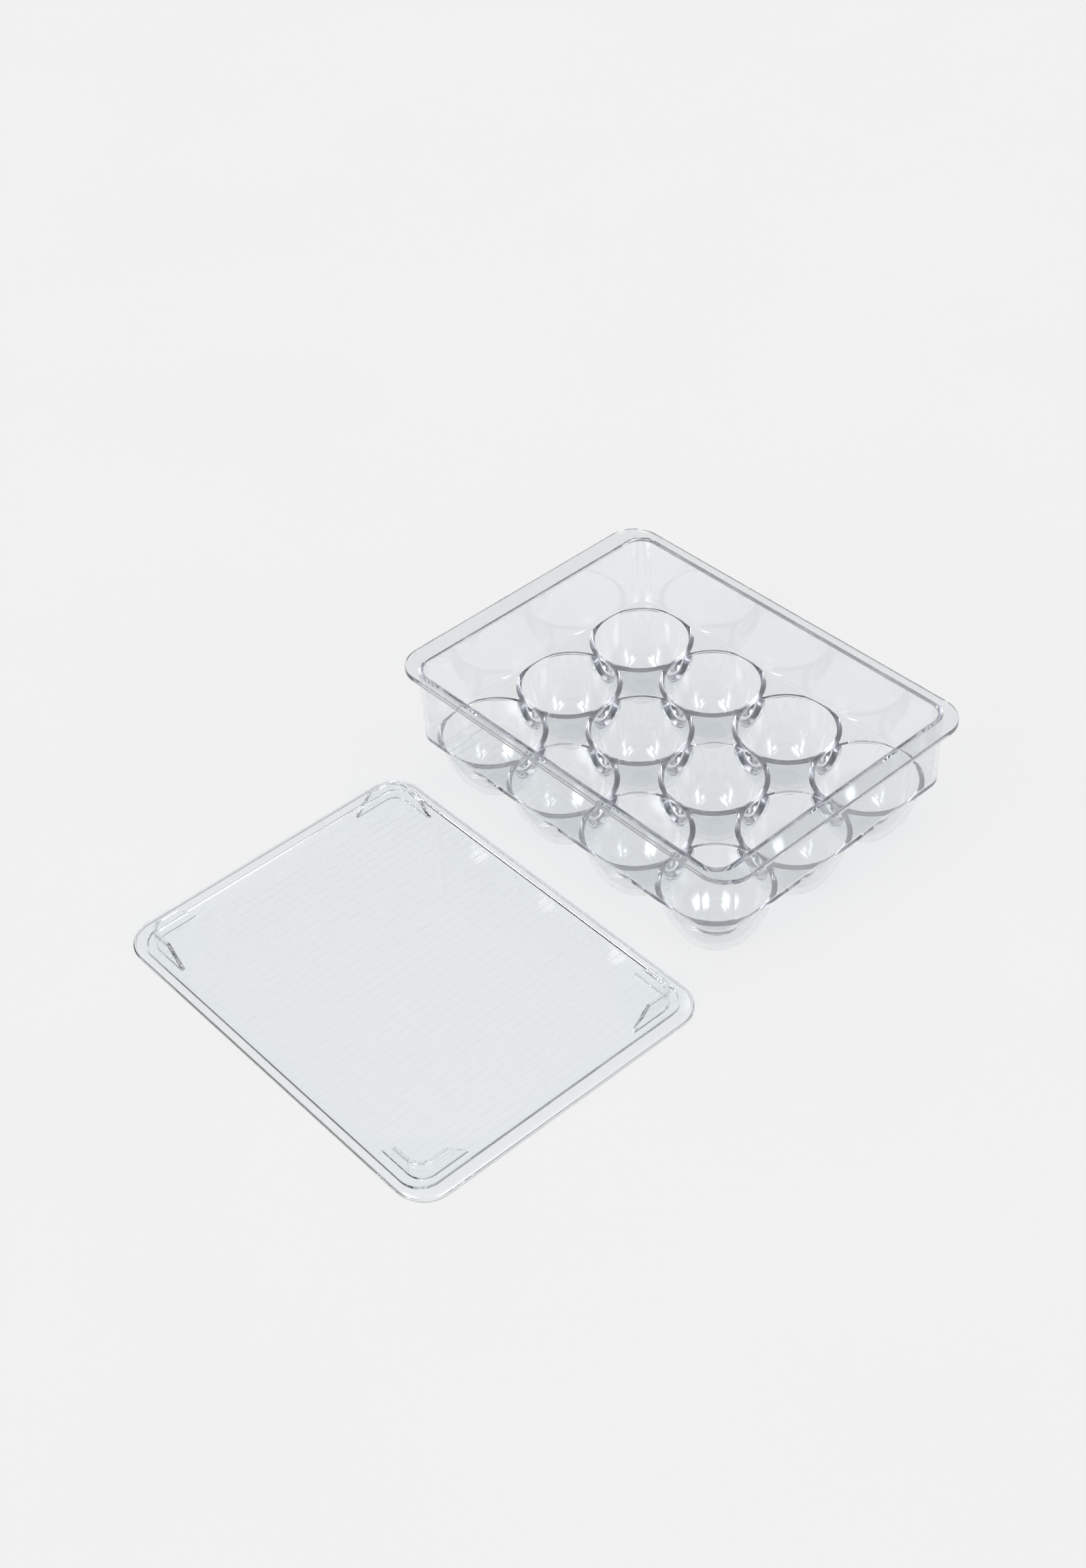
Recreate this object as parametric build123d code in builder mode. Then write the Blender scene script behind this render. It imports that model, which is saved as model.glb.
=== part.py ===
"""Twelve-egg keeper: a clear moulded tray with hanging cups, and its loose lid lying beside it.

Millimetres, Z up.  The origin is the middle of the ground that the open set covers.
The tray stands on the feet of its cups.  The lid lies upside down, its four corner tabs up.
"""

import os
from math import cos, radians, sin, sqrt, tan

from build123d import *

# ----------------------------------------------------------------------------- egg cups
cup_columns = 4  # along the long side
cup_rows = 3
cup_pitch = 49.0
cup_mouth_radius = 23.3  # just under the rounded lip
cup_wall = 2.8
cup_lip_round = 0.6
cup_crown = 7.5  # centre of the egg curve, above the deck
cup_half_height = 43.0  # of the whole egg curve, outside
cup_floor = 2.2  # thickness under the egg
cup_crease_round = 0.9  # underneath, where two cups grow together

# ----------------------------------------------------------------------------- tray
deck_height = 34.0  # top of the deck above the ground
deck_thickness = 2.0
wall_height = 38.6  # deck to rim
wall_thickness = 2.3
wall_draft = 0.5  # degrees
wall_margin = 0.1  # between a cup's lip and the foot of the wall
corner_radius = 8.5  # inside
wall_foot_round = 1.2
wall_heel_round = 1.8  # outside, where the wall turns into the underside of the deck

rim_thickness = 2.8
rim_grip = 8.4  # how far the rim stands out of the short sides
rim_lip = 3.2  # the same on the long sides
rim_corner_radius = 15.0
rim_edge_round = 0.6
rim_inner_round = 1.2

# ----------------------------------------------------------------------------- lid
grip_shown = 0.5  # strip of each side grip that the closed lid leaves bare
lid_overhang = 2.7  # how far the closed lid stands out over the rim's long sides
lid_corner_radius = 15.5
lid_panel = 1.2
border_height = 3.0  # raised border on which the closed lid rests, from the lid's outer face
border_wall = 1.2  # the border is hollow from the outer face
border_end = 8.3  # width along the short sides
border_side = 5.5  # width along the long sides
border_outer_round = 2.2
border_inner_round = 1.2
groove_count = 42
groove_pitch = 4.66
groove_width = 0.6
groove_depth = 0.3
groove_margin = 1.0  # from a groove's end to the border

tab_height = 10.0  # above the panel
tab_thickness = 1.9
tab_leg = 26.0  # from the corner to the foot of the leg's end
tab_slant = 10.0  # how much shorter the leg is at its top
tab_round = 0.6
tab_clearance = 0.6  # between the tabs and the tray's walls

# ----------------------------------------------------------------------------- layout
lid_gap = 1.65  # between the rim and the lid's long side
lid_shift = -7.4  # lid's middle along the tray's long side
lid_turn = -0.85  # degrees


def egg_radius(half_width, half_height, height):
    """Radius of the egg curve at a height above its centre."""
    return half_width * sqrt(1 - (height / half_height) ** 2)


# ----------------------------------------------------------------------------- worked out
tray_height = deck_height + wall_height
lip_radius = cup_mouth_radius + cup_lip_round
inner_half_height = cup_half_height - cup_wall
inner_half_width = cup_mouth_radius / egg_radius(1, inner_half_height, cup_crown + cup_lip_round)
outer_half_width = (cup_mouth_radius + cup_wall) / egg_radius(1, cup_half_height, cup_crown)
cup_overlap = min(1, cup_pitch / 2 / outer_half_width)
crease_low = deck_height + cup_crown - cup_half_height * sqrt(1 - cup_overlap**2)

cavity_length = (cup_columns - 1) * cup_pitch + 2 * (lip_radius + wall_margin)
cavity_width = (cup_rows - 1) * cup_pitch + 2 * (lip_radius + wall_margin)
wall_growth = wall_height * tan(radians(wall_draft))
rim_length = cavity_length + 2 * (wall_growth + wall_thickness + rim_grip)
rim_width = cavity_width + 2 * (wall_growth + wall_thickness + rim_lip)
lid_length = rim_length - 2 * grip_shown
lid_width = rim_width + 2 * lid_overhang

lid_cosine = cos(radians(lid_turn))
lid_sine = abs(sin(radians(lid_turn)))
lid_straight_x = lid_length / 2 - lid_corner_radius
lid_straight_y = lid_width / 2 - lid_corner_radius
lid_reach_x = lid_straight_x * lid_cosine + lid_straight_y * lid_sine + lid_corner_radius
lid_reach_y = lid_straight_x * lid_sine + lid_straight_y * lid_cosine + lid_corner_radius
lid_step = rim_width / 2 + lid_gap + lid_width / 2  # middle of the tray to middle of the lid

left_end = min(-rim_length / 2, lid_shift - lid_reach_x)
right_end = max(rim_length / 2, lid_shift + lid_reach_x)
near_end = -lid_step - lid_reach_y
far_end = rim_width / 2
tray_x = -(left_end + right_end) / 2
tray_y = -(near_end + far_end) / 2

tray_plane = Plane(origin=(tray_x, tray_y, 0))
lid_plane = Plane(
    origin=(tray_x + lid_shift, tray_y - lid_step, 0),
    x_dir=(cos(radians(lid_turn)), sin(radians(lid_turn)), 0),
)

# ----------------------------------------------------------------------------- cup, outside
with BuildPart() as cup_outside:
    with BuildSketch(Plane.XZ):
        with Locations((0, deck_height + cup_crown)):
            Ellipse(outer_half_width, cup_half_height)
        Rectangle(
            2 * outer_half_width, deck_height, align=(Align.MIN, Align.MIN), mode=Mode.INTERSECT
        )
    revolve(axis=Axis.Z)

# ----------------------------------------------------------------------------- cup, hollow
with BuildPart() as cup_hollow:
    with BuildSketch(Plane.XZ):
        with Locations((0, deck_height + cup_crown)):
            Ellipse(inner_half_width, inner_half_height)
        with Locations((0, cup_floor)):
            Rectangle(
                2 * inner_half_width,
                deck_height - cup_lip_round - cup_floor,
                align=(Align.MIN, Align.MIN),
                mode=Mode.INTERSECT,
            )
        with Locations((0, deck_height - cup_lip_round)):
            Rectangle(lip_radius, cup_lip_round + wall_foot_round, align=(Align.MIN, Align.MIN))
        with Locations((lip_radius, deck_height - cup_lip_round)):
            Circle(cup_lip_round, mode=Mode.SUBTRACT)
    revolve(axis=Axis.Z)

# ----------------------------------------------------------------------------- room over the deck
with BuildPart() as cavity:
    with BuildSketch(Plane.XY.offset(deck_height)):
        RectangleRounded(cavity_length, cavity_width, corner_radius)
    extrude(amount=wall_height, taper=-wall_draft)
    fillet(cavity.faces().sort_by(Axis.Z)[0].edges(), wall_foot_round)

# ----------------------------------------------------------------------------- rim
with BuildPart() as rim:
    with BuildSketch(Plane.XY.offset(tray_height - rim_thickness)):
        RectangleRounded(rim_length, rim_width, rim_corner_radius)
    extrude(amount=rim_thickness)
    fillet(rim.edges().group_by(Axis.Z)[0] + rim.edges().group_by(Axis.Z)[-1], rim_edge_round)

# ----------------------------------------------------------------------------- tray
with BuildPart(tray_plane) as egg_tray:
    with BuildSketch(tray_plane.offset(deck_height - deck_thickness)):
        RectangleRounded(
            cavity_length + 2 * wall_thickness,
            cavity_width + 2 * wall_thickness,
            corner_radius + wall_thickness,
        )
    extrude(amount=deck_thickness + wall_height - rim_thickness / 2, taper=-wall_draft)
    fillet(egg_tray.faces().sort_by(Axis.Z)[0].edges(), wall_heel_round)
    add(rim.part)
    with GridLocations(cup_pitch, cup_pitch, cup_columns, cup_rows):
        add(cup_outside.part)
    creases = egg_tray.edges().filter_by_position(
        Axis.Z, crease_low - cup_crease_round, deck_height - deck_thickness, (True, False)
    )
    if creases:  # cups set far apart have none
        fillet(creases, cup_crease_round)
    add(cavity.part, mode=Mode.SUBTRACT)
    rim_top = egg_tray.faces().sort_by(Axis.Z)[-1]
    fillet(rim_top.inner_wires()[0].edges(), rim_inner_round)
    with GridLocations(cup_pitch, cup_pitch, cup_columns, cup_rows):
        add(cup_hollow.part, mode=Mode.SUBTRACT)

egg_tray.part.label = "egg_tray"

# ----------------------------------------------------------------------------- lid, tabs
tab_frame_length = cavity_length + 2 * (wall_growth - tab_clearance)
tab_frame_width = cavity_width + 2 * (wall_growth - tab_clearance)
tab_corner_radius = corner_radius + wall_growth - tab_clearance
tab_foot = lid_panel - groove_depth  # level with the bottom of the grooves, which end at the tabs
with BuildPart() as tabs:
    with BuildSketch(Plane.XY.offset(tab_foot)):
        RectangleRounded(tab_frame_length, tab_frame_width, tab_corner_radius)
        RectangleRounded(
            tab_frame_length - 2 * tab_thickness,
            tab_frame_width - 2 * tab_thickness,
            tab_corner_radius - tab_thickness,
            mode=Mode.SUBTRACT,
        )
    extrude(amount=lid_panel + tab_height - tab_foot)
    fillet(tabs.edges().group_by(Axis.Z)[-1], tab_round)
    # the gap between two tabs widens upwards, which slants the ends of their legs
    for plane, frame_length in ((Plane.XZ, tab_frame_length), (Plane.YZ, tab_frame_width)):
        half_gap = frame_length / 2 - tab_leg
        with BuildSketch(plane):
            with BuildLine():
                Polyline(
                    (-half_gap, tab_foot),
                    (half_gap, tab_foot),
                    (half_gap + tab_slant, lid_panel + tab_height),
                    (-half_gap - tab_slant, lid_panel + tab_height),
                    close=True,
                )
            make_face()
        extrude(amount=lid_length, both=True, mode=Mode.SUBTRACT)

# ----------------------------------------------------------------------------- lid
panel_length = lid_length - 2 * border_end
panel_width = lid_width - 2 * border_side
panel_corner_radius = lid_corner_radius - border_side
groove_length = panel_width - 2 * groove_margin
with BuildPart(lid_plane) as lid:
    with BuildSketch(lid_plane):
        RectangleRounded(lid_length, lid_width, lid_corner_radius)
    extrude(amount=border_height)
    fillet(lid.edges().group_by(Axis.Z)[-1], border_outer_round)
    with BuildSketch(lid_plane.offset(lid_panel)):
        RectangleRounded(panel_length, panel_width, panel_corner_radius)
    extrude(amount=border_height - lid_panel, mode=Mode.SUBTRACT)
    border_top = lid.faces().sort_by(Axis.Z)[-1]
    fillet(border_top.inner_wires()[0].edges(), border_inner_round)
    with BuildSketch(lid_plane):
        RectangleRounded(
            lid_length - 2 * border_wall, lid_width - 2 * border_wall, lid_corner_radius - border_wall
        )
        RectangleRounded(
            panel_length + 2 * border_wall,
            panel_width + 2 * border_wall,
            panel_corner_radius + border_wall,
            mode=Mode.SUBTRACT,
        )
    extrude(amount=border_height - border_wall, mode=Mode.SUBTRACT)
    with BuildSketch(lid_plane.offset(lid_panel)):
        with GridLocations(groove_pitch, 0, groove_count, 1):
            Rectangle(groove_width, groove_length)
    extrude(amount=-groove_depth, mode=Mode.SUBTRACT)
    add(tabs.part)

lid.part.label = "lid"

# ----------------------------------------------------------------------------- written pieces
os.makedirs("parts", exist_ok=True)
for piece in (egg_tray, lid):
    export_step(piece.part, f"parts/{piece.part.label}.step")
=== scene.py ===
"""Clear moulded egg keeper: a tray with twelve hanging cups, and its ribbed lid lying beside it.

Every operator makes one piece, in metres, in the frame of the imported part. Run as a script, the
file makes them all. The lid lies upside down, with its corner tabs up.
"""

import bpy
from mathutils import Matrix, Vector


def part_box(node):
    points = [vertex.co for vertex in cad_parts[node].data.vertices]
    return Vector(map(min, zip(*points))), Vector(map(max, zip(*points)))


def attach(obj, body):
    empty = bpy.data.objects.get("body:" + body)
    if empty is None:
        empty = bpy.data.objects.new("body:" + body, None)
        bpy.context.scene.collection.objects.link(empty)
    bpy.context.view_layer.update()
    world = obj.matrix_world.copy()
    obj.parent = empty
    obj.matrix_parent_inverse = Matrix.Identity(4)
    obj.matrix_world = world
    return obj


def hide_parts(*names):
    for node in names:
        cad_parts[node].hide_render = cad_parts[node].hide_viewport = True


bl_info = {
    "name": "Clear Egg Keeper",
    "version": (1, 0, 0),
    "blender": (4, 5, 0),
    "location": "3D Viewport > Sidebar > Egg Keeper",
    "description": "Clear moulded egg tray and ribbed lid, on a pale table under softboxes",
    "category": "Add Mesh",
}

from math import asin, atan, copysign, cos, degrees, pi, radians, sin, sqrt, tan

import bmesh
import bpy
from bpy.props import FloatProperty, FloatVectorProperty, IntProperty, PointerProperty
from mathutils import Matrix, Quaternion, Vector

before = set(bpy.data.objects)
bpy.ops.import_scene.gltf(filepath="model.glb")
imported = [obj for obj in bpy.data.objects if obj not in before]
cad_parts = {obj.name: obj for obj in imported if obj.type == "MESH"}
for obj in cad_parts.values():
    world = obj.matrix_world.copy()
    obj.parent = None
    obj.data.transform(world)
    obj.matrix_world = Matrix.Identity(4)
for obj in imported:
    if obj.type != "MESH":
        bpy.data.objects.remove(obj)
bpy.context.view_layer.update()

MM = 0.001

TRAY_LOW, TRAY_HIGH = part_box("egg_tray")
LID_LOW, LID_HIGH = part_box("lid")
TRAY_FOOT = Vector(((TRAY_LOW.x + TRAY_HIGH.x) / 2, (TRAY_LOW.y + TRAY_HIGH.y) / 2, 0.0))
LID_FOOT = Vector(((LID_LOW.x + LID_HIGH.x) / 2, (LID_LOW.y + LID_HIGH.y) / 2, 0.0))

# ---------------------------------------------------------------------------------- settings


def size(name, default, description):
    """A length in metres, given in millimetres."""
    return FloatProperty(
        name=name, description=description, default=default * MM, min=0.0, precision=4,
        subtype="DISTANCE", unit="LENGTH",
    )


def turn(name, default, description):
    """An angle, given in degrees."""
    return FloatProperty(
        name=name, description=description, default=radians(default),
        subtype="ANGLE", unit="ROTATION",
    )


def tint(name, default, description):
    """A colour, linear red, green and blue."""
    return FloatVectorProperty(
        name=name, description=description, default=default, size=3, min=0.0, max=1.0,
        subtype="COLOR",
    )


def amount(name, default, description, low=0.0):
    """A plain number, low or more."""
    return FloatProperty(name=name, description=description, default=default, min=low)


def count(name, default, description, low=1):
    """A whole number, low or more."""
    return IntProperty(name=name, description=description, default=default, min=low)


class EggCupSettings(bpy.types.PropertyGroup):
    """One egg cup and how the cups are set out."""

    columns: count("Columns", 4, "Cups along the tray")
    rows: count("Rows", 3, "Cups across the tray")
    pitch: size("Pitch", 49.0, "From cup to cup")
    mouth: size("Mouth radius", 23.3, "Inside radius just under the lip")
    wall: size("Wall", 2.8, "Thickness at the lip")
    lip: size("Lip rounding", 0.6, "Rounding of the mouth's edge")
    crown: size("Crown", 7.5, "Centre of the egg curve over the deck")
    half_height: size("Half height", 43.0, "Half the egg curve's height, outside")
    floor: size("Floor", 2.2, "Thickness under the egg")
    crease: size("Crease", 0.9, "Rounding of the crease between two cups, underneath")
    steps: count("Steps", 96, "Facets round a cup", 12)


class TraySettings(bpy.types.PropertyGroup):
    """The deck, walls and rim of the tray."""

    deck_height: size("Deck height", 34.0, "Deck over the table")
    deck: size("Deck", 2.0, "Thickness of the deck")
    wall: size("Wall", 2.3, "Thickness of the walls")
    draft: turn("Draft", 0.5, "How far the walls lean out")
    margin: size("Margin", 0.1, "From a cup's lip to the foot of the wall")
    corner: size("Corner radius", 8.5, "Inside the walls, at the deck")
    foot_round: size("Foot rounding", 1.2, "Where the walls meet the deck")
    heel_round: size("Heel rounding", 1.8, "Outer lower edge of the walls")
    rim: size("Rim", 2.8, "Thickness of the rim")
    rim_corner: size("Rim corner", 15.0, "Corner radius of the rim")
    rim_round: size("Rim rounding", 0.6, "Outer edges of the rim")
    rim_inner_round: size("Inner rounding", 1.2, "Inner edge of the rim")
    corner_steps: count("Corner steps", 20, "Facets round a corner", 3)


class LidSettings(bpy.types.PropertyGroup):
    """The lid. Heights are over the table, as it lies upside down."""

    grip_shown: size("Grip shown", 0.5, "Strip of each side grip that the closed lid leaves bare")
    overhang: size("Overhang", 2.7, "How far the closed lid stands out over the long sides")
    angle: turn("Angle", -0.85, "How the lid lies, against the tray")
    corner: size("Corner radius", 15.5, "Outside")
    panel: size("Panel", 1.2, "Thickness of the panel")
    border: size("Border height", 3.0, "Of the raised border on which the closed lid rests")
    border_wall: size("Border wall", 1.2, "The border is hollow underneath")
    border_end: size("End border", 8.3, "Width along the short sides")
    border_side: size("Side border", 5.5, "Width along the long sides")
    outer_round: size("Outer rounding", 2.2, "Outer edge of the border")
    inner_round: size("Inner rounding", 1.2, "Inner edge of the border")
    grooves: count("Grooves", 42, "Lines across the panel", 0)
    groove_pitch: size("Groove pitch", 4.66, "From line to line")
    groove_width: size("Groove width", 0.6, "Of one line")
    groove_depth: size("Groove depth", 0.15, "Of one line")
    groove_margin: size("Groove margin", 1.0, "From a line's end to the border")
    tab_height: size("Tab height", 10.0, "Over the panel")
    tab: size("Tab", 1.9, "Thickness of the corner tabs")
    tab_leg: size("Tab leg", 26.0, "From the corner to the end of a leg")
    tab_slant: size("Tab slant", 10.0, "How much shorter a leg is at its top")
    tab_round: size("Tab rounding", 0.6, "Top edges of the tabs")
    tab_clearance: size("Tab clearance", 0.6, "From the tabs to the tray's walls")
    corner_steps: count("Corner steps", 20, "Facets round a corner", 3)


class PlasticSettings(bpy.types.PropertyGroup):
    """The clear plastic of tray and lid."""

    bend: amount("Refraction", 1.58, "Index of refraction", 1.0)
    depth: tint("Depth tint", (0.85, 0.853, 0.868), "What is left of light after one reach")
    reach: size("Reach", 20.0, "How far light goes to take that tint")
    tray_skin: tint("Tray skin", (0.938, 0.952, 0.958), "Tint of what is seen through the tray")
    lid_skin: tint("Lid skin", (0.99, 1.0, 1.0), "Tint of what is seen through the lid")
    tray_shade: tint("Tray shade", (0.994, 0.997, 0.999), "What one skin of the tray lets through")
    lid_shade: tint("Lid shade", (0.983, 0.996, 1.0), "What one skin of the lid lets through")
    wave: size("Wave", 0.006, "How deep the slow waves of the moulded skin are")
    wave_length: size("Wave length", 24.0, "From wave to wave")
    haze: amount("Haze", 0.012, "Roughness of the dullest spots")
    haze_length: size("Haze length", 3.0, "From spot to spot")


class StageSettings(bpy.types.PropertyGroup):
    """Table and studio light."""

    table: size("Table", 40000.0, "Side of the square table")
    table_gap: size("Table gap", 0.05, "Air under the pieces, which touch the table at few points")
    table_tint: tint("Table tint", (0.857, 0.856, 0.854), "Colour of the table")
    room: tint("Room", (0.405, 0.407, 0.41), "Colour of the dim room")
    key: amount("Key", 10.5, "Brightness of the left softbox")
    fill: amount("Fill", 10.5, "Brightness of the right softbox")
    top: amount("Top", 0.27, "Brightness of the wide light overhead")


# ---------------------------------------------------------------------------------- mesh tools

SPARE = 2 * MM  # how far a cutter reaches past what it cuts
SAME_PLACE = 0.001 * MM  # vertices nearer than this are one
SHARP_ANGLE = radians(24)  # between faces that meet in a sharp edge
LIP_ARC, FINE_ARC, BORDER_ARC = 4, 8, 10  # facets of rounded edges that don't have the usual 6
UP = (0, 0, 1)


def kept(items, kind):
    """Those of a bmesh result's items that are of one kind."""
    return [item for item in items if isinstance(item, kind)]


def arc(centre, radius, start, end, steps=6):
    """Points of an arc about centre, from one angle in degrees to another, both ends included."""
    for step in range(steps + 1):
        angle = radians(start + (end - start) * step / steps)
        yield centre[0] + radius * cos(angle), centre[1] + radius * sin(angle)


def closed(mesh):
    """Merges seams and poles, fills open ends and turns the faces outwards."""
    bmesh.ops.remove_doubles(mesh, verts=mesh.verts, dist=SAME_PLACE)
    bmesh.ops.edgeloop_fill(mesh, edges=[edge for edge in mesh.edges if edge.is_boundary])
    bmesh.ops.recalc_face_normals(mesh, faces=mesh.faces)
    return mesh


def chain_of(mesh, points):
    """New vertices and edges through points."""
    verts = [mesh.verts.new(point) for point in points]
    return verts + [mesh.edges.new(pair) for pair in zip(verts, verts[1:])]


def turned(profile, steps):
    """Mesh of a profile of (radius, height) turned about the upright axis."""
    mesh = bmesh.new()
    chain = chain_of(mesh, [(out, 0.0, up) for out, up in profile])
    bmesh.ops.spin(
        mesh, geom=chain, cent=(0, 0, 0), axis=UP, angle=2 * pi, steps=steps, use_merge=True
    )
    return closed(mesh)


def swept(profile, corner_x, corner_y, steps, looped=False):
    """Mesh of a profile swept round a rounded rectangle.

    The profile is (distance from the corner's centre, height), and corner_x and corner_y say
    where that centre is. The ends of the profile are filled flat, or joined if it is looped.
    """
    mesh = bmesh.new()
    chain = chain_of(mesh, [(corner_x + out, corner_y, up) for out, up in profile])
    if looped:
        verts = kept(chain, bmesh.types.BMVert)
        chain.append(mesh.edges.new((verts[-1], verts[0])))
    corners = (
        (corner_x, corner_y, (-2 * corner_x, 0, 0)),
        (-corner_x, corner_y, (0, -2 * corner_y, 0)),
        (-corner_x, -corner_y, (2 * corner_x, 0, 0)),
        (corner_x, -corner_y, (0, 2 * corner_y, 0)),
    )
    for x, y, run in corners:
        chain = bmesh.ops.spin(
            mesh, geom=chain, cent=(x, y, 0), axis=UP, angle=pi / 2, steps=steps
        )["geom_last"]
        edges = kept(chain, bmesh.types.BMEdge)
        grown = bmesh.ops.extrude_edge_only(mesh, edges=edges)["geom"]
        ends = kept(grown, bmesh.types.BMVert)
        bmesh.ops.translate(mesh, verts=ends, vec=run)
        far_edges = kept(grown, bmesh.types.BMEdge)
        chain = ends + [edge for edge in far_edges if all(vert in ends for vert in edge.verts)]
    return closed(mesh)


def solid(name, mesh, shift=(0, 0, 0)):
    """Object of a bmesh, moved by shift."""
    bmesh.ops.translate(mesh, verts=mesh.verts, vec=shift)
    data = bpy.data.meshes.new(name)
    mesh.to_mesh(data)
    mesh.free()
    made = bpy.data.objects.new(name, data)
    bpy.context.scene.collection.objects.link(made)
    return made


def combined(base, joined=(), cut=()):
    """Joins solids to base and then cuts others out of it. What was used goes."""
    for others, operation in ((joined, "UNION"), (cut, "DIFFERENCE")):
        for other in others:
            step = base.modifiers.new(other.name, "BOOLEAN")
            step.operation, step.solver, step.object = operation, "MANIFOLD", other
    bpy.context.view_layer.update()
    evaluated = base.evaluated_get(bpy.context.evaluated_depsgraph_get())
    result = bpy.data.meshes.new_from_object(evaluated)
    base.modifiers.clear()
    old, base.data = base.data, result
    bpy.data.meshes.remove(old)
    for other in (*joined, *cut):
        bpy.data.meshes.remove(other.data)
    return base


def finished(piece, name, matrix, material):
    """Names a finished solid, puts it in place, smooths it and gives it its material."""
    piece.name = piece.data.name = name
    piece.data.transform(matrix)
    piece.data.shade_smooth()
    piece.data.set_sharp_from_angle(angle=SHARP_ANGLE)
    piece.modifiers.new("Even normals", "WEIGHTED_NORMAL").keep_sharp = True
    piece.data.materials.clear()
    piece.data.materials.append(material)


# ---------------------------------------------------------------------------------- shader tools


def node(tree, kind, inputs, **settings):
    """New shader node. Each input is given a value or another node's output."""
    made = tree.nodes.new("ShaderNode" + kind)
    for name, value in settings.items():
        setattr(made, name, value)
    for name, value in inputs.items():
        if isinstance(value, bpy.types.NodeSocket):
            tree.links.new(value, made.inputs[name])
        else:
            made.inputs[name].default_value = value
    return made


def noise(tree, place, scale, detail):
    """Node output of cloudy noise at a place, scale spots to the metre."""
    cloud = node(tree, "TexNoise", {"Vector": place, "Scale": scale, "Detail": detail})
    return cloud.outputs["Fac"]


# ---------------------------------------------------------------------------------- plastic

WAVE_DETAIL, HAZE_DETAIL = 2.0, 4.0
HAZE_START, HAZE_FULL = 0.55, 0.85  # noise at which the skin starts to dull, and is dullest


def clear_plastic(name, settings, skin, shade):
    """Clear moulded plastic, which tints what is seen through it by its skin and its depth.

    Shadow rays and diffuse rays go straight through, so that the table under it is lit evenly
    and takes only the shade.
    """
    material = bpy.data.materials.get(name)
    if material:
        return material
    material = bpy.data.materials.new(name)
    material.use_nodes = True
    tree = material.node_tree
    tree.nodes.clear()
    place = node(tree, "TexCoord", {}).outputs["Object"]
    waves = noise(tree, place, 1 / settings.wave_length, WAVE_DETAIL)
    relief = node(tree, "Bump", {"Distance": settings.wave, "Height": waves})
    spots = noise(tree, place, 1 / settings.haze_length, HAZE_DETAIL)
    haze = node(tree, "MapRange", {
        "Value": spots, "From Min": HAZE_START, "From Max": HAZE_FULL, "To Max": settings.haze,
    })
    plastic = node(tree, "BsdfPrincipled", {
        "Base Color": (*skin, 1),
        "Transmission Weight": 1.0,
        "IOR": settings.bend,
        "Roughness": haze.outputs["Result"],
        "Normal": relief.outputs["Normal"],
    })
    straight = node(tree, "BsdfTransparent", {"Color": (*shade, 1)})
    path = node(tree, "LightPath", {}).outputs
    either = node(
        tree, "Math", {0: path["Is Shadow Ray"], 1: path["Is Diffuse Ray"]}, operation="MAXIMUM"
    )
    mix = node(tree, "MixShader", {
        0: either.outputs[0], 1: plastic.outputs[0], 2: straight.outputs[0],
    })
    depth = node(tree, "VolumeAbsorption", {
        "Color": (*settings.depth, 1), "Density": 1 / settings.reach,
    })
    node(tree, "OutputMaterial", {"Surface": mix.outputs[0], "Volume": depth.outputs[0]})
    return material


# ---------------------------------------------------------------------------------- tray

CREASE_END = 0.02  # what is left of a crease's rounding at the deck, squared


def room_inside(cup, tray):
    """Half the length and half the width of the room over the deck, at the deck."""
    reach = cup.mouth + cup.lip + tray.margin
    return [(number - 1) * cup.pitch / 2 + reach for number in (cup.columns, cup.rows)]


def egg_radius(half_width, half_height, height):
    """Radius of the egg curve at a height above its centre."""
    return half_width * sqrt(1 - (height / half_height) ** 2)


def egg_curve(half_width, half_height, centre, low, high, steps=30):
    """Points of the egg curve between two heights, evenly spaced round it."""
    start, end = (asin((height - centre) / half_height) for height in (low, high))
    for step in range(steps + 1):
        angle = start + (end - start) * step / steps
        yield half_width * cos(angle), centre + half_height * sin(angle)


def crease(half_width, half_height, centre, pitch, top, radius, steps=24):
    """Mesh that rounds the crease under two cups, whose middles are half a pitch left and right.

    The crease runs along the ellipse in which the cups' outsides meet, from top down to its
    lowest point and up again. The rounding is hollow, and runs out towards the deck.
    """
    half = pitch / 2
    lowest = centre - half_height * sqrt(1 - (half / half_width) ** 2)
    # half the angle between the two cups, at the crease's lowest point
    opening = atan(half_width**2 * (centre - lowest) / (half_height**2 * half))
    middle = radius / sin(opening)
    bottom = arc((0.0, 0.0), radius, 180 - degrees(opening), degrees(opening), FINE_ARC)
    section = [  # across and down from the line in which the cups meet
        (-radius * cos(opening), -radius),
        *((across, middle - down) for across, down in bottom),
        (radius * cos(opening), -radius),
    ]
    mesh = bmesh.new()
    loops = []
    for step in range(-steps, steps + 1):
        part = step / steps
        height = lowest + (top - lowest) * part**2
        cup_radius = egg_radius(half_width, half_height, height - centre)
        along = copysign(sqrt(max(cup_radius**2 - half**2, 0.0)), step)
        outwards = Vector((0, along / half_width**2, (height - centre) / half_height**2))
        outwards.normalize()
        fade = sqrt(1 + CREASE_END - part**4)
        loops.append([
            mesh.verts.new(Vector((fade * across, along, height)) + fade * down * outwards)
            for across, down in section
        ])
    for first, second in zip(loops, loops[1:]):
        for index in range(len(section)):
            after = (index + 1) % len(section)
            mesh.faces.new((first[index], first[after], second[after], second[index]))
    return closed(mesh)


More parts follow.
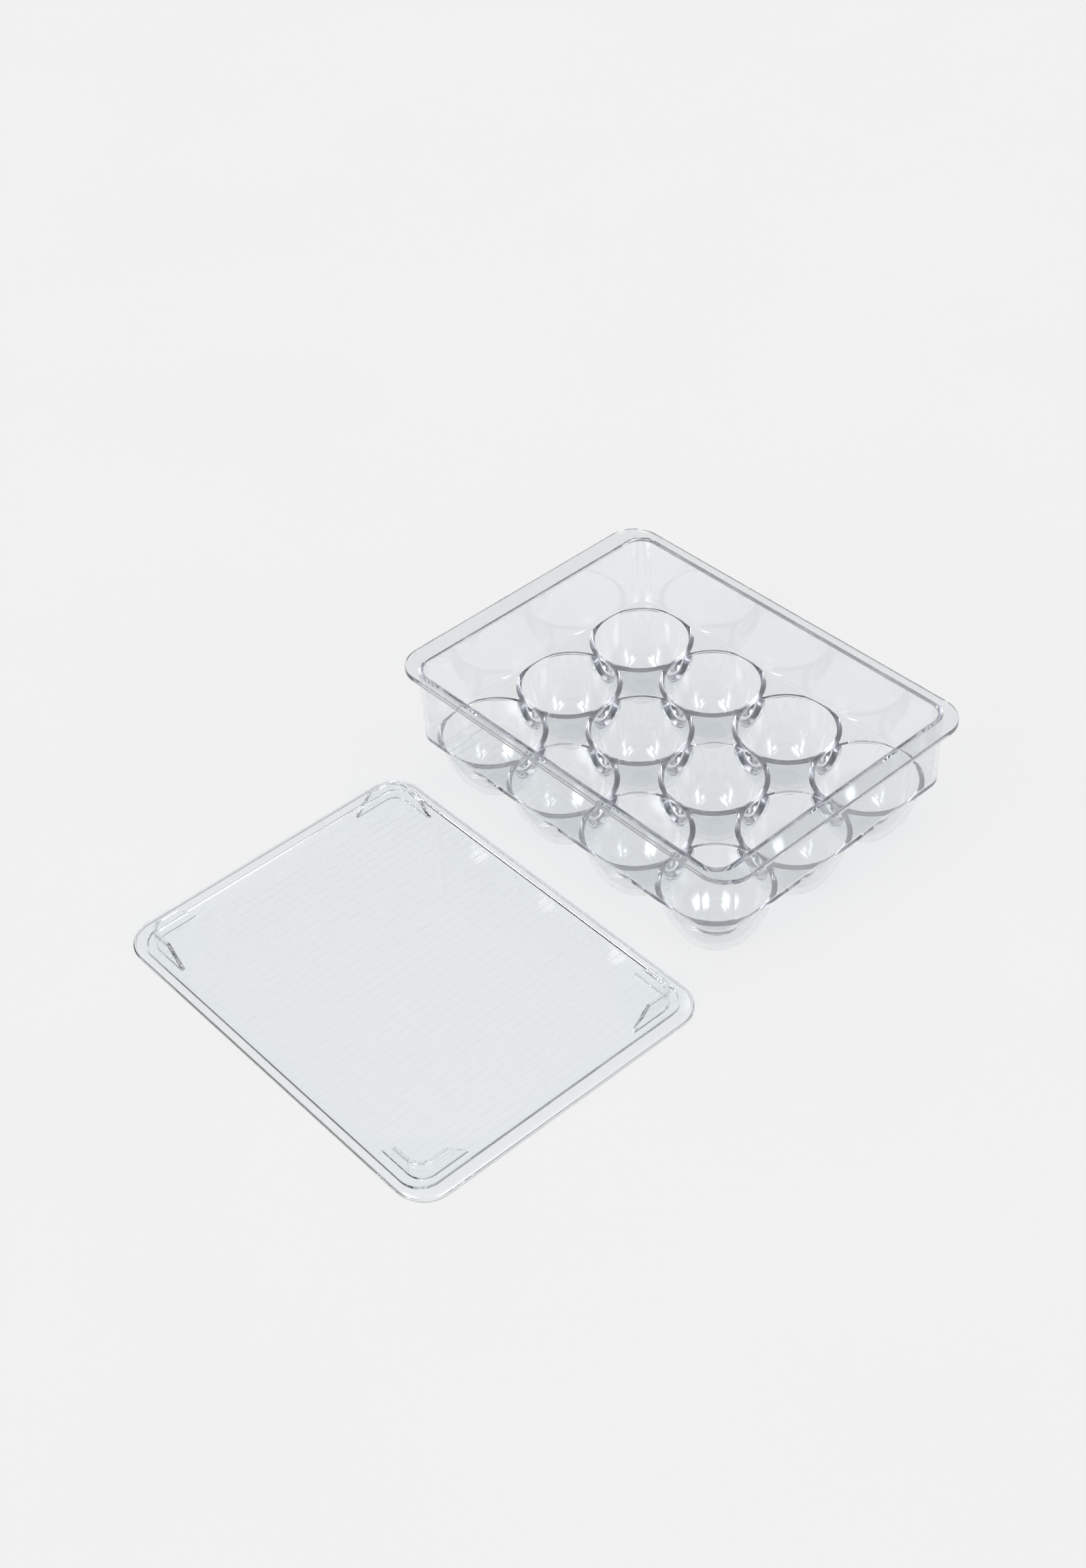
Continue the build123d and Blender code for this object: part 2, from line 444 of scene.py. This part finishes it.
class EGGKEEPER_OT_tray(bpy.types.Operator):
    """Make the tray: walls, rim, deck and hanging cups in one moulding"""

    bl_idname = "egg_keeper.make_tray"
    bl_label = "Make Egg Tray"

    def execute(self, context):
        keeper = context.scene.egg_keeper
        cup, tray, plastic = keeper.cup, keeper.tray, keeper.plastic
        deck, top = tray.deck_height, TRAY_HIGH.z
        lean = tan(tray.draft)
        inside_x, inside_y = (half - tray.corner for half in room_inside(cup, tray))

        # walls and deck as one block, which the cavity hollows
        heel = tray.corner + tray.wall
        underside = deck - tray.deck
        heel_centre = (heel - tray.heel_round, underside + tray.heel_round)
        walls = swept(
            [
                *arc(heel_centre, tray.heel_round, -90, 0),
                (heel + (top - underside) * lean, top - tray.rim / 2),
            ],
            inside_x, inside_y, tray.corner_steps,
        )
        edge = tray.rim_corner - tray.rim_round
        rim = swept(
            [
                *arc((edge, top - tray.rim + tray.rim_round), tray.rim_round, -90, 0),
                *arc((edge, top - tray.rim_round), tray.rim_round, 0, 90),
            ],
            (TRAY_HIGH.x - TRAY_LOW.x) / 2 - tray.rim_corner,
            (TRAY_HIGH.y - TRAY_LOW.y) / 2 - tray.rim_corner,
            tray.corner_steps,
        )
        foot_centre = (
            tray.corner + tray.foot_round * lean - tray.foot_round, deck + tray.foot_round
        )
        brim = tray.corner + (top - deck) * lean + tray.rim_inner_round
        cavity = swept(
            [
                *arc(foot_centre, tray.foot_round, -90, 0),
                *arc((brim, top - tray.rim_inner_round), tray.rim_inner_round, 180, 90),
                (brim, top + SPARE),
            ],
            inside_x, inside_y, tray.corner_steps,
        )

        # one cup, outside and inside
        centre = deck + cup.crown
        lip_radius = cup.mouth + cup.lip
        inner_height = cup.half_height - cup.wall
        inner_width = cup.mouth / egg_radius(1, inner_height, cup.crown + cup.lip)
        outer_width = (cup.mouth + cup.wall) / egg_radius(1, cup.half_height, cup.crown)
        outside = [
            (0.0, 0.0),
            *egg_curve(outer_width, cup.half_height, centre, 0.0, deck),
            (cup.mouth + cup.wall, deck + SPARE),
            (0.0, deck + SPARE),
        ]
        inside = [
            (0.0, cup.floor),
            *egg_curve(inner_width, inner_height, centre, cup.floor, deck - cup.lip),
            *list(arc((lip_radius, deck - cup.lip), cup.lip, 180, 90, LIP_ARC))[1:],
            (lip_radius, deck + tray.foot_round),
            (0.0, deck + tray.foot_round),
        ]

        # all cups, and the creases between neighbours
        middle_column, middle_row = (cup.columns - 1) / 2, (cup.rows - 1) / 2
        places = [
            ((column - middle_column) * cup.pitch, (row - middle_row) * cup.pitch, 0)
            for row in range(cup.rows)
            for column in range(cup.columns)
        ]
        last_x, last_y, _ = places[-1]
        half = cup.pitch / 2
        between = [((x + half, y, 0), 0.0) for x, y, _ in places if x < last_x]
        between += [((x, y + half, 0), pi / 2) for x, y, _ in places if y < last_y]
        creases = []
        for place, angle in between:
            mesh = crease(
                outer_width, cup.half_height, centre, cup.pitch, deck - tray.deck / 2, cup.crease
            )
            bmesh.ops.rotate(mesh, verts=mesh.verts, matrix=Matrix.Rotation(angle, 3, "Z"))
            creases.append(solid("crease", mesh, place))
        cups = [solid("cup", turned(outside, cup.steps), place) for place in places]
        hollows = [solid("hollow", turned(inside, cup.steps), place) for place in places]

        piece = combined(
            solid("walls", walls),
            joined=[solid("rim", rim), *cups, *creases],
            cut=[solid("cavity", cavity), *hollows],
        )
        finished(
            piece, "egg_tray_moulding", Matrix.Translation(TRAY_FOOT),
            clear_plastic("clear_tray_moulding", plastic, plastic.tray_skin, plastic.tray_shade),
        )
        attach(piece, "tray")
        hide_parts("egg_tray")
        return {"FINISHED"}


# ---------------------------------------------------------------------------------- lid


def lid_border(lid, half_x, half_y):
    """Meshes for the panel and its border.

    The plate has the lid's whole outline. The pocket is cut into its top, down to the panel. The
    channel, less its core, is cut into its underside and leaves the border hollow.
    """
    foot = lid.corner - lid.border_side
    outside = (half_x - lid.corner, half_y - lid.corner, lid.corner_steps)
    inside = (half_x - lid.border_end - foot, half_y - lid.border_side - foot, lid.corner_steps)
    shoulder = (lid.corner - lid.outer_round, lid.border - lid.outer_round)
    plate = swept(
        [(lid.corner, 0.0), *arc(shoulder, lid.outer_round, 0, 90, BORDER_ARC)], *outside
    )
    brim = foot + lid.inner_round
    pocket = swept(
        [
            (foot, lid.panel),
            *arc((brim, lid.border - lid.inner_round), lid.inner_round, 180, 90, FINE_ARC),
            (brim, lid.border + SPARE),
        ],
        *inside,
    )
    high = lid.border - lid.border_wall
    outer, inner = lid.corner - lid.border_wall, foot + lid.border_wall
    curve = max(lid.outer_round - lid.border_wall, 0.0)
    channel = swept(
        [(outer, -SPARE), *arc((outer - curve, high - curve), curve, 0, 90, FINE_ARC)], *outside
    )
    core = swept([(inner, -2 * SPARE), (inner, high + SPARE)], *inside)
    return plate, pocket, channel, core


def lid_grooves(lid, length):
    """Solids of the grooves in the panel, each a bar whose section is a lozenge."""
    shape = Matrix.Diagonal((lid.groove_width / sqrt(2), 1, lid.groove_depth * sqrt(2), 1))
    shape @= Matrix.Rotation(pi / 4, 4, "Y") @ Matrix.Diagonal((1, length, 1, 1))
    grooves = []
    for line in range(lid.grooves):
        mesh = bmesh.new()
        bmesh.ops.create_cube(mesh, size=1.0, matrix=shape)
        place = ((line - (lid.grooves - 1) / 2) * lid.groove_pitch, 0, lid.panel)
        grooves.append(solid("groove", mesh, place))
    return grooves


def tab_gap(lid, half, tip, across, angle):
    """Solid that cuts a ring, whose half length is given, into tabs. It widens up to the tip."""
    foot = lid.panel - lid.groove_depth
    low = half - lid.tab_leg
    high = low + lid.tab_slant * (tip + SPARE - lid.panel) / lid.tab_height
    right = [(low, 0.0), (low, foot), (high, tip + SPARE)]
    left = [(-along, up) for along, up in right]
    mesh = bmesh.new()
    verts = [mesh.verts.new((along, -across, up)) for along, up in (*left, *reversed(right))]
    grown = bmesh.ops.extrude_face_region(mesh, geom=[mesh.faces.new(verts)])["geom"]
    bmesh.ops.translate(mesh, verts=kept(grown, bmesh.types.BMVert), vec=(0, 2 * across, 0))
    bmesh.ops.rotate(mesh, verts=mesh.verts, matrix=Matrix.Rotation(angle, 3, "Z"))
    bmesh.ops.recalc_face_normals(mesh, faces=mesh.faces)
    return solid("gap", mesh)


class EGGKEEPER_OT_lid(bpy.types.Operator):
    """Make the lid: ribbed panel, hollow raised border and four corner tabs in one moulding"""

    bl_idname = "egg_keeper.make_lid"
    bl_label = "Make Lid"

    def execute(self, context):
        keeper = context.scene.egg_keeper
        tray, lid, plastic = keeper.tray, keeper.lid, keeper.plastic
        half_x = (TRAY_HIGH.x - TRAY_LOW.x) / 2 - lid.grip_shown
        half_y = (TRAY_HIGH.y - TRAY_LOW.y) / 2 + lid.overhang
        plate, pocket, channel, core = lid_border(lid, half_x, half_y)
        channel = combined(solid("channel", channel), cut=[solid("core", core)])
        grooves = lid_grooves(lid, 2 * (half_y - lid.border_side - lid.groove_margin))

        # the tabs stand just inside the tray's walls when the lid is on
        inside_x, inside_y = room_inside(keeper.cup, tray)
        reach = (TRAY_HIGH.z - tray.deck_height) * tan(tray.draft) - lid.tab_clearance
        outer, tip = tray.corner + reach, LID_HIGH.z
        left, right = outer - lid.tab + lid.tab_round, outer - lid.tab_round
        ring = swept(
            [
                (outer - lid.tab, lid.panel / 2),
                *arc((left, tip - lid.tab_round), lid.tab_round, 180, 90),
                *arc((right, tip - lid.tab_round), lid.tab_round, 90, 0),
                (outer, lid.panel / 2),
            ],
            inside_x - tray.corner, inside_y - tray.corner, lid.corner_steps, looped=True,
        )
        gaps = [
            tab_gap(lid, inside_x + reach, tip, half_y, 0.0),
            tab_gap(lid, inside_y + reach, tip, half_x, pi / 2),
        ]
        tabs = combined(solid("tabs", ring), cut=gaps)

        hollowed = combined(solid("plate", plate), cut=[solid("pocket", pocket), channel])
        piece = combined(hollowed, joined=[tabs], cut=grooves)
        finished(
            piece, "lid_moulding",
            Matrix.Translation(LID_FOOT) @ Matrix.Rotation(lid.angle, 4, "Z"),
            clear_plastic("clear_lid_moulding", plastic, plastic.lid_skin, plastic.lid_shade),
        )
        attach(piece, "lid")
        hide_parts("lid")
        return {"FINISHED"}


# ---------------------------------------------------------------------------------- stage

FRAME_PIXELS = (1596, 2304)
FOCAL_PIXELS = 3432
SENSOR = 36.0  # millimetres, for the longer side of the frame
CAMERA_REACH = Vector((0.5898, -0.5786, 0.7506))  # from the middle of the tray's foot
CAMERA_HEADING = radians(139.943)  # from +X
CAMERA_DIP = radians(41.578)  # below level
CAMERA_ROLL = radians(-3.746)
CLIP_NEAR, CLIP_FAR = 0.01, 100.0

# heading and rise of each light's middle, and half its width and height at a distance of one
KEY_HEADING, KEY_RISE, KEY_HALF = radians(-90), radians(28), (0.23, 0.17)
FILL_HEADING, FILL_RISE, FILL_HALF = radians(4), radians(26), (0.22, 0.145)
TOP_HEADING, TOP_RISE, TOP_HALF = radians(0), radians(90), (0.5, 0.5)
LIGHT_FULL, LIGHT_END = 0.35, 2.0  # where a light starts to fade, and ends, in its half sizes
LIGHT_BOUNCES = 64  # light crosses many skins, and runs far inside the walls

TABLE_ROUGHNESS = 0.9
TABLE_CLOUDS, TABLE_GRAIN = 6.0, 900.0  # spots to the metre
TABLE_DETAIL = 3.0
CLOUD_STRENGTH = 0.01  # share of the table's tint
GRAIN_DEPTH = 0.01 * MM


def heading(azimuth, rise):
    """Unit vector of a direction."""
    return Vector((cos(rise) * cos(azimuth), cos(rise) * sin(azimuth), sin(rise)))


def softbox(tree, azimuth, rise, half):
    """Node output that is 1 inside a soft-edged rectangle of the sky, and 0 outside it."""
    ahead = heading(azimuth, rise)
    side = Vector((-sin(azimuth), cos(azimuth), 0))
    view = node(tree, "TexCoord", {}).outputs["Generated"]

    def along(axis):
        dot = node(tree, "VectorMath", {0: view, 1: axis}, operation="DOT_PRODUCT")
        return dot.outputs["Value"]

    def math(operation, first, second):
        return node(tree, "Math", {0: first, 1: second}, operation=operation).outputs[0]

    depth = along(ahead)
    inside = math("GREATER_THAN", depth, 0.0)
    for axis, reach in zip((side, ahead.cross(side)), half):
        spread = math("ABSOLUTE", math("DIVIDE", along(axis), depth), 0.0)
        fade = node(
            tree, "MapRange",
            {"Value": spread, "From Min": reach * LIGHT_END, "From Max": reach * LIGHT_FULL},
            interpolation_type="SMOOTHSTEP",
        )
        inside = math("MULTIPLY", inside, fade.outputs["Result"])
    return inside


def table_matte(stage):
    """Material of the table: pale and matte, with faint clouds and a fine grain."""
    material = bpy.data.materials.new("table_matte")
    material.use_nodes = True
    tree = material.node_tree
    place = node(tree, "TexCoord", {}).outputs["Object"]
    clouds = noise(tree, place, TABLE_CLOUDS, TABLE_DETAIL)
    dark, light = (
        (*(share * channel for channel in stage.table_tint), 1)
        for share in (1 - CLOUD_STRENGTH, 1 + CLOUD_STRENGTH)
    )
    blend = node(tree, "Mix", {"A": dark, "B": light, "Factor": clouds}, data_type="RGBA")
    grain = noise(tree, place, TABLE_GRAIN, TABLE_DETAIL)
    relief = node(tree, "Bump", {"Distance": GRAIN_DEPTH, "Height": grain})
    shader = tree.nodes["Principled BSDF"]
    shader.inputs["Roughness"].default_value = TABLE_ROUGHNESS
    shader.inputs["Specular IOR Level"].default_value = 0.0
    tree.links.new(blend.outputs["Result"], shader.inputs["Base Color"])
    tree.links.new(relief.outputs["Normal"], shader.inputs["Normal"])
    return material


def studio(stage):
    """World of a dim room with two softboxes and a wide light overhead."""
    room = bpy.data.worlds.new("studio")
    room.use_nodes = True
    tree = room.node_tree
    glow = stage.room
    for azimuth, rise, half, power in (
        (KEY_HEADING, KEY_RISE, KEY_HALF, stage.key),
        (FILL_HEADING, FILL_RISE, FILL_HALF, stage.fill),
        (TOP_HEADING, TOP_RISE, TOP_HALF, stage.top),
    ):
        shape = softbox(tree, azimuth, rise, half)
        lit = node(tree, "VectorMath", {0: (power,) * 3, "Scale": shape}, operation="SCALE")
        glow = node(tree, "VectorMath", {0: glow, 1: lit.outputs[0]}, operation="ADD").outputs[0]
    tree.links.new(glow, tree.nodes["Background"].inputs["Color"])
    return room


class EGGKEEPER_OT_stage(bpy.types.Operator):
    """Lay the table, light the room and set up the camera"""

    bl_idname = "egg_keeper.lay_stage"
    bl_label = "Lay Stage"

    def execute(self, context):
        scene, stage = context.scene, context.scene.egg_keeper.stage

        mesh = bmesh.new()
        bmesh.ops.create_grid(mesh, x_segments=1, y_segments=1, size=stage.table / 2)
        table = solid("table", mesh, (0, 0, -stage.table_gap))
        table.data.materials.append(table_matte(stage))
        scene.world = studio(stage)

        lens = bpy.data.cameras.new("camera")
        lens.sensor_width = SENSOR
        lens.lens = SENSOR * FOCAL_PIXELS / max(FRAME_PIXELS)
        lens.clip_start, lens.clip_end = CLIP_NEAR, CLIP_FAR
        camera = bpy.data.objects.new("camera", lens)
        aim = heading(CAMERA_HEADING, -CAMERA_DIP)
        level = Vector((sin(CAMERA_HEADING), -cos(CAMERA_HEADING), 0))
        right = Quaternion(aim, -CAMERA_ROLL) @ level
        turned_in = Matrix((right, right.cross(aim), -aim)).transposed().to_4x4()
        camera.matrix_world = Matrix.Translation(TRAY_FOOT + CAMERA_REACH) @ turned_in
        scene.collection.objects.link(camera)
        scene.camera = camera

        scene.view_settings.view_transform = "Standard"
        scene.cycles.max_bounces = LIGHT_BOUNCES
        scene.cycles.glossy_bounces = LIGHT_BOUNCES
        scene.cycles.transmission_bounces = LIGHT_BOUNCES
        scene.cycles.transparent_max_bounces = LIGHT_BOUNCES
        return {"FINISHED"}


# ---------------------------------------------------------------------------------- panel


class EggKeeperSettings(bpy.types.PropertyGroup):
    """All settings of the egg keeper."""

    cup: PointerProperty(type=EggCupSettings)
    tray: PointerProperty(type=TraySettings)
    lid: PointerProperty(type=LidSettings)
    plastic: PointerProperty(type=PlasticSettings)
    stage: PointerProperty(type=StageSettings)


class EGGKEEPER_PT_panel(bpy.types.Panel):
    """Egg keeper settings and operators"""

    bl_idname = "EGGKEEPER_PT_panel"
    bl_label = "Egg Keeper"
    bl_space_type = "VIEW_3D"
    bl_region_type = "UI"
    bl_category = "Egg Keeper"

    def draw(self, context):
        keeper = context.scene.egg_keeper
        for title in ("cup", "tray", "lid", "plastic", "stage"):
            group = getattr(keeper, title)
            box = self.layout.box()
            box.label(text=title.capitalize())
            for name in group.__annotations__:
                box.prop(group, name)
        for operator in OPERATORS:
            self.layout.operator(operator.bl_idname)


GROUPS = (
    EggCupSettings, TraySettings, LidSettings, PlasticSettings, StageSettings, EggKeeperSettings,
)
OPERATORS = (EGGKEEPER_OT_tray, EGGKEEPER_OT_lid, EGGKEEPER_OT_stage)
CLASSES = (*GROUPS, *OPERATORS, EGGKEEPER_PT_panel)


def register():
    for item in CLASSES:
        bpy.utils.register_class(item)
    bpy.types.Scene.egg_keeper = PointerProperty(type=EggKeeperSettings)


def unregister():
    del bpy.types.Scene.egg_keeper
    for item in reversed(CLASSES):
        bpy.utils.unregister_class(item)


def main():
    register()
    bpy.ops.egg_keeper.make_tray()
    bpy.ops.egg_keeper.make_lid()
    bpy.ops.egg_keeper.lay_stage()


if __name__ == "__main__":
    main()
